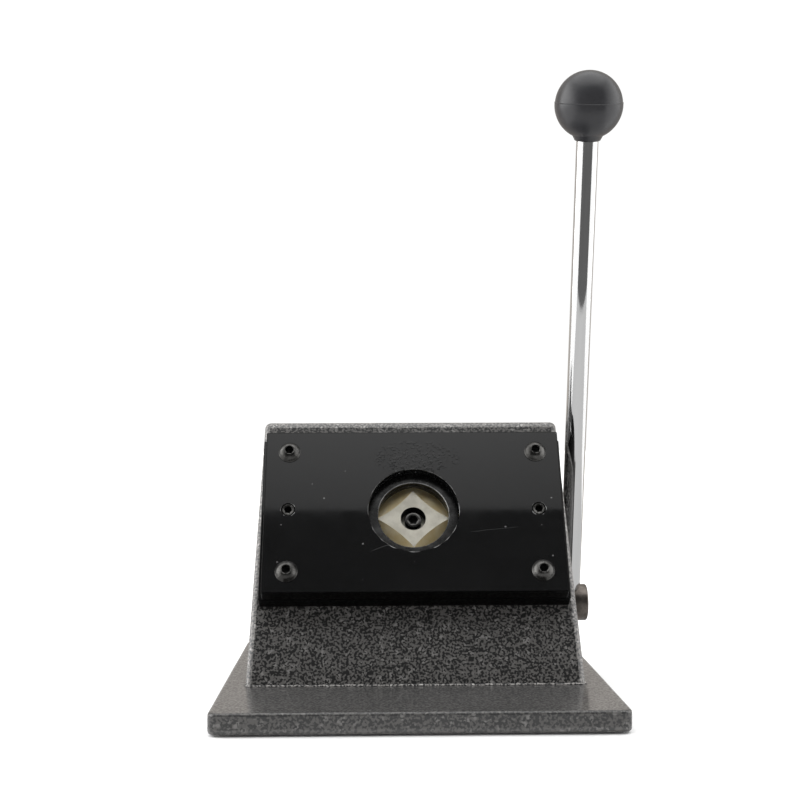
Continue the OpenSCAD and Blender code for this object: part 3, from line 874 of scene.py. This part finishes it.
def grub_screws():
    thick, offset = face_slab("front_plate")[2:]
    reach_x = (span("set_screws").x - SCREW_D) / 2
    y = (middle("set_screws") - AXIS_POINT).dot(SLOPE)
    sunk, across, depth, length = 0.3 * MM, 4.2 * MM, 5 * MM, 11 * MM
    top = offset + thick / 2 - sunk
    r = SCREW_D / 2 - 0.02 * MM
    for number, sign in enumerate((-1, 1)):
        bm = bmesh.new()
        rings = [ring(POINT, -length), ring(r * 0.7, -length), ring(r, 1 * MM - length),
                 ring(r, -0.7 * MM), ring(r - 0.6 * MM, 0), ring(r - 0.8 * MM, 0)]
        wall = len(rings)
        rings += socket_rings(across, 0, depth)
        add_rings(bm, rings)
        # the socket's faces take the painted shade
        for index, face in enumerate(bm.faces):
            if index >= (wall + 1) * SEGMENTS:
                face.material_index = 1
        bmesh.ops.remove_doubles(bm, verts=bm.verts, dist=WELD)
        spin = Matrix.Rotation(random.uniform(0, math.pi / 3), 4, "Z")
        piece = finish_piece(bm, f"set_screw_{number}", [OXIDE, SOCKET_SHADE], "frame", None,
                             on_face(sign * reach_x, y, top) @ spin, 32)
        if number == 0:
            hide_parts("set_screws")


def cover_bolts():
    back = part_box("rear_cover")[1].y
    shank_d, head_d, head_h, across, length = 4 * MM, 7.6 * MM, 2.2 * MM, 2.5 * MM, 7 * MM
    size = span("rear_cover_screws")
    centre = middle("rear_cover_screws")
    for number, (sx, sz) in enumerate(CORNERS):
        x = sx * (size.x - head_d) / 2
        z = centre.z + sz * (size.z - head_d) / 2
        spin = Matrix.Rotation(random.uniform(0, math.pi / 3), 4, "Z")
        piece = button_screw(f"cover_screw_{number}", on_back(x, back, z) @ spin, "frame",
                             ZINC, shank_d, head_d, head_h, across, length)
        if number == 0:
            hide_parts("rear_cover_screws")


def punch_screw():
    head_r, head_h, shank_r, across, depth = 5 * MM, 6 * MM, 3 * MM, 5 * MM, 3 * MM
    length = (span("punch_screw").y - (head_r + shank_r) * SINE) / COSINE
    top = (on_face().inverted() @ middle("punch_screw")).z + length / 2
    bm = bmesh.new()
    rings = [ring(POINT, -length), ring(shank_r - 0.4 * MM, -length),
             ring(shank_r, 0.6 * MM - length), ring(shank_r, -head_h),
             ring(head_r - 0.1 * MM, -head_h), ring(head_r, 0.2 * MM - head_h),
             ring(head_r, -0.7 * MM), ring(head_r - 0.2 * MM, -0.25 * MM),
             ring(head_r - 0.7 * MM, 0)]
    wall = len(rings)
    rings += socket_rings(across, 0, depth)
    add_rings(bm, rings)
    # the socket's faces take the painted shade
    for index, face in enumerate(bm.faces):
        if index >= (wall + 1) * SEGMENTS:
            face.material_index = 1
    bmesh.ops.remove_doubles(bm, verts=bm.verts, dist=WELD)
    finish_piece(bm, "punch_bolt", [OXIDE, SOCKET_SHADE], "ram", "punch_screw",
                 on_face(z=top), 32)


# ---------- punch ----------

RECESS = 9 * MM             # upright faces nearer the axis than this belong to the screw recess, which takes the painted shade


def punch():
    """The CAD punch's own shape, with its ground hollows in their own finish and painted shade on
    the wall of its screw recess.
    """
    bm = bmesh.new()
    bm.from_mesh(frame["nodes"]["punch"].data)
    bmesh.ops.remove_doubles(bm, verts=bm.verts, dist=CAD_WELD)
    # upright faces of the screw recess take the painted shade
    for face in bm.faces:
        facing = face.normal.dot(NORMAL)
        arm = face.calc_center_median() - AXIS_POINT
        if 0.3 < facing < 0.995:
            face.material_index = 1
        elif abs(facing) < 0.3 and (arm - NORMAL * arm.dot(NORMAL)).length < RECESS:
            face.material_index = 2
    piece = finish_piece(bm, "punch_head", [PUNCH_FLAT, PUNCH_HOLLOW, SOCKET_SHADE], "ram",
                         "punch", None, 15)
    sharpen(piece, lambda polygon: polygon.normal.dot(NORMAL) > FLAT)


# ---------- lever ----------

KNOB_FOOT = math.sqrt(KNOB_R ** 2 - NECK_R ** 2) + NECK_LEN
KNOB_HOLE = 6.6 * MM
NECK_LOW_R = 7.6 * MM
ROD_FOOT = 10.4 * MM


def lever_hub():
    low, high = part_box("lever_hub")
    radius = (high.z - low.z) / 2
    outline = [(0, 0, 0), (radius, 0, 0.3 * MM), (radius, high.x - low.x, 1.3 * MM),
               (radius * 0.35, high.x - low.x, 0.2 * MM), (0, high.x - low.x - 0.3 * MM, 0)]
    turned("hub", outline, BROWN_STEEL, "lever", "lever_hub", on_shaft(low.x))


def lever_rod():
    radius = span("lever_rod").x / 2
    top = LEVER_LEN - KNOB_FOOT
    outline = [(0, ROD_FOOT, 0), (radius, ROD_FOOT, 0.3 * MM), (radius, top, 0.4 * MM),
               (0, top, 0)]
    bm = bmesh.new()
    add_rings(bm, [ring(max(p.x, POINT), p.y) for p in fillet(outline, 3)])
    bmesh.ops.remove_doubles(bm, verts=bm.verts, dist=WELD)
    finish_piece(bm, "rod", CHROME, "lever", "lever_rod", on_lever())


def ball_knob():
    """A moulded ball with a parting ridge round its middle and a short neck."""
    ridge, ridge_half, step, seam = 0.2 * MM, 0.35 * MM, 0.22 * MM, 1.3 * MM
    points = [(KNOB_HOLE, -KNOB_FOOT + 1.2 * MM), (KNOB_HOLE, -KNOB_FOOT + 0.2 * MM),
              (KNOB_HOLE + 0.3 * MM, -KNOB_FOOT), (NECK_LOW_R - 0.3 * MM, -KNOB_FOOT),
              (NECK_LOW_R, -KNOB_FOOT + 0.3 * MM)]
    start = math.asin(-math.sqrt(KNOB_R ** 2 - NECK_R ** 2) / KNOB_R)
    count = 72
    turns = [start + (math.pi / 2 - start) * i / count for i in range(count + 1)]
    turns += [(seam + k * ridge_half) / KNOB_R for k in (-1, -0.5, 0, 0.5, 1)]
    for a in sorted(turns):
        height = KNOB_R * math.sin(a)
        swell = ridge * max(0.0, 1 - abs(height - seam) / ridge_half)
        body_r = KNOB_R - ridge - (step if height > seam + 0.1 * MM else 0)
        points.append(((body_r + swell) * math.cos(a), body_r * math.sin(a)))
    bm = bmesh.new()
    rings = [ring(POINT, points[0][1])] + [ring(max(r, POINT), z) for r, z in points]
    add_rings(bm, rings)
    bmesh.ops.remove_doubles(bm, verts=bm.verts, dist=WELD)
    finish_piece(bm, "knob", PLASTIC, "lever", "ball_knob", on_lever(LEVER_LEN), 40)


# ---------- CAD nodes that keep their own shape ----------

def dress_cad_nodes():
    plain = {
        "base_screws": OXIDE, "slot_spacers": STEEL, "ram_guide": CASTING, "guide_screws": OXIDE,
        "guide_bushes": BRONZE, "wall_bush": BRONZE, "drive_shaft": STEEL, "pinion": STEEL,
        "pinion_pin": SPRING, "retaining_ring": SPRING, "hub_set_screw": OXIDE,
        "knob_insert": BRASS, "ram": STEEL, "spring_collar": STEEL, "collar_screw": OXIDE,
    }
    for node, material in plain.items():
        mesh = frame["nodes"][node].data
        mesh.materials.clear()
        mesh.materials.append(material)


def return_spring():
    """A round-wire coil made from the CAD spring, on a mesh of its own."""
    bm = bmesh.new()
    bm.from_mesh(frame["nodes"]["return_spring"].data)
    bmesh.ops.remove_doubles(bm, verts=bm.verts, dist=CAD_WELD)
    piece = finish_piece(bm, "coil", SPRING, "frame", "return_spring", None, 60)
    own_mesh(piece)


# ---------- studio ----------

TOP_LIGHT, BACK_LIGHT, LEFT_LIGHT, RIGHT_LIGHT = 2.0, 1.03, 3.6, 2.1
TOP_BAND, SIDE_BAND = (0.80, 0.87), (0.55, 0.95)    # where each light fades in
SIDE_LEAN = 0.4             # how far the side lights reach round to the back
TABLE_REACH = 8.0
ROD_X = 0.1                 # the screen and the cards are centred on the lever rod
CARD_LIFT = 0.004           # how far they lie above the table
SCREEN_AWAY, SCREEN_TOP = 6.0, 8.5
TABLE_EDGE, BACK_EDGE = 0.5, 0.3        # the near card runs from one to the other
NEAR_HALF = 0.3
SCREEN_TURN, BACK_TURN = 50, 62         # half the angle each fills, in degrees


def sheet(name, rows, material):
    """A stage surface through rows of points."""
    bm = bmesh.new()
    made = [[bm.verts.new(p) for p in row] for row in rows]
    for a, b in zip(made, made[1:]):
        for i in range(len(a) - 1):
            bm.faces.new((a[i], a[i + 1], b[i + 1], b[i]))
    mesh = bpy.data.meshes.new(name)
    bm.to_mesh(mesh)
    bm.free()
    mesh.shade_smooth()
    piece = bpy.data.objects.new(name, mesh)
    bpy.context.scene.collection.objects.link(piece)
    mesh.materials.append(material)
    return piece


def studio():
    """A pale table in a bright tent, with a dark screen and two cards that only gloss sees."""
    ends = (-TABLE_REACH, TABLE_REACH)
    sheet("table", [[(x, y, 0.0) for x in ends] for y in ends], white_sheet())

    def row(away, z, turn):
        half = abs(away - SHAFT.y) * math.tan(math.radians(turn))
        return [(ROD_X + side * half, away, z) for side in (-1, 1)]

    front = [row(away, z, SCREEN_TURN) for away, z in
             ((-TABLE_EDGE, CARD_LIFT), (-SCREEN_AWAY, CARD_LIFT), (-SCREEN_AWAY, SCREEN_TOP))]
    screen = sheet("screen", front, dark_screen())
    middle_rows = [[(ROD_X + side * NEAR_HALF, y, CARD_LIFT) for side in (-1, 1)]
                   for y in (0.0, BACK_EDGE)]
    near = sheet("near_card", [row(-TABLE_EDGE, CARD_LIFT, SCREEN_TURN)] + middle_rows, NEAR_CARD)
    rear = [row(away, z, BACK_TURN) for away, z in
            ((BACK_EDGE, CARD_LIFT), (SCREEN_AWAY, CARD_LIFT), (SCREEN_AWAY, SCREEN_TOP))]
    card = sheet("back_card", rear, BACK_CARD)
    for piece in (screen, near, card):
        piece.data.set_sharp_from_angle(angle=math.radians(30))
        piece.visible_camera = piece.visible_diffuse = piece.visible_shadow = False

    world = bpy.data.worlds.new("studio")
    world.use_nodes = True
    tree = world.node_tree

    def blend(value, ends, span):
        made = tree.nodes.new("ShaderNodeMapRange")
        made.interpolation_type = "SMOOTHSTEP"
        tree.links.new(value, made.inputs["Value"])
        for key, number in zip(("From Min", "From Max", "To Min", "To Max"), (*ends, *span)):
            made.inputs[key].default_value = number
        return made.outputs["Result"]

    def combine(operation, a, b):
        made = tree.nodes.new("ShaderNodeMath")
        made.operation = operation
        for socket, value in zip(made.inputs, (a, b)):
            if isinstance(value, bpy.types.NodeSocket):
                tree.links.new(value, socket)
            else:
                socket.default_value = value
        return made.outputs[0]

    place = tree.nodes.new("ShaderNodeTexCoord")
    parts = tree.nodes.new("ShaderNodeSeparateXYZ")
    tree.links.new(place.outputs["Generated"], parts.inputs[0])
    top = blend(parts.outputs["Z"], TOP_BAND, (0.0, TOP_LIGHT - BACK_LIGHT))
    rearward = combine("MULTIPLY", parts.outputs["Y"], SIDE_LEAN)
    left = combine("ADD", combine("MULTIPLY", parts.outputs["X"], -1.0), rearward)
    right = combine("ADD", parts.outputs["X"], rearward)
    side = combine("ADD", blend(left, SIDE_BAND, (0.0, LEFT_LIGHT - BACK_LIGHT)),
                   blend(right, SIDE_BAND, (0.0, RIGHT_LIGHT - BACK_LIGHT)))
    light = combine("ADD", combine("ADD", top, side), BACK_LIGHT)
    sky = tree.nodes["Background"]
    sky.inputs["Color"].default_value = (1.0, 1.0, 1.0, 1)
    tree.links.new(light, sky.inputs["Strength"])
    bpy.context.scene.world = world


LENS = 61.65
VIEW_FROM = (-0.02529, -0.82597, 0.15923)
VIEW_TURN = (1.234, 1.101, -0.205)      # yaw, pitch and roll in degrees


def camera():
    data = bpy.data.cameras.new("camera")
    data.sensor_width = 36
    data.lens = LENS
    data.clip_start = 0.05
    view = bpy.data.objects.new("camera", data)
    bpy.context.scene.collection.objects.link(view)
    view.location = VIEW_FROM
    yaw, pitch, roll = (math.radians(a) for a in VIEW_TURN)
    view.matrix_world = (Matrix.Translation(view.location) @ Matrix.Rotation(-yaw, 4, "Z")
                         @ Matrix.Rotation(math.pi / 2 + pitch, 4, "X")
                         @ Matrix.Rotation(roll, 4, "Z"))
    bpy.context.scene.camera = view


camera()
studio()
bpy.context.scene.view_settings.view_transform = "Standard"

base_plate()
anti_slip_mat()
body_housing()
foot_bead()
rear_cover()
front_and_back_plates()
die_ring()
face_bolts()
grub_screws()
cover_bolts()
punch()
punch_screw()
lever_hub()
lever_rod()
ball_knob()
return_spring()
dress_cad_nodes()
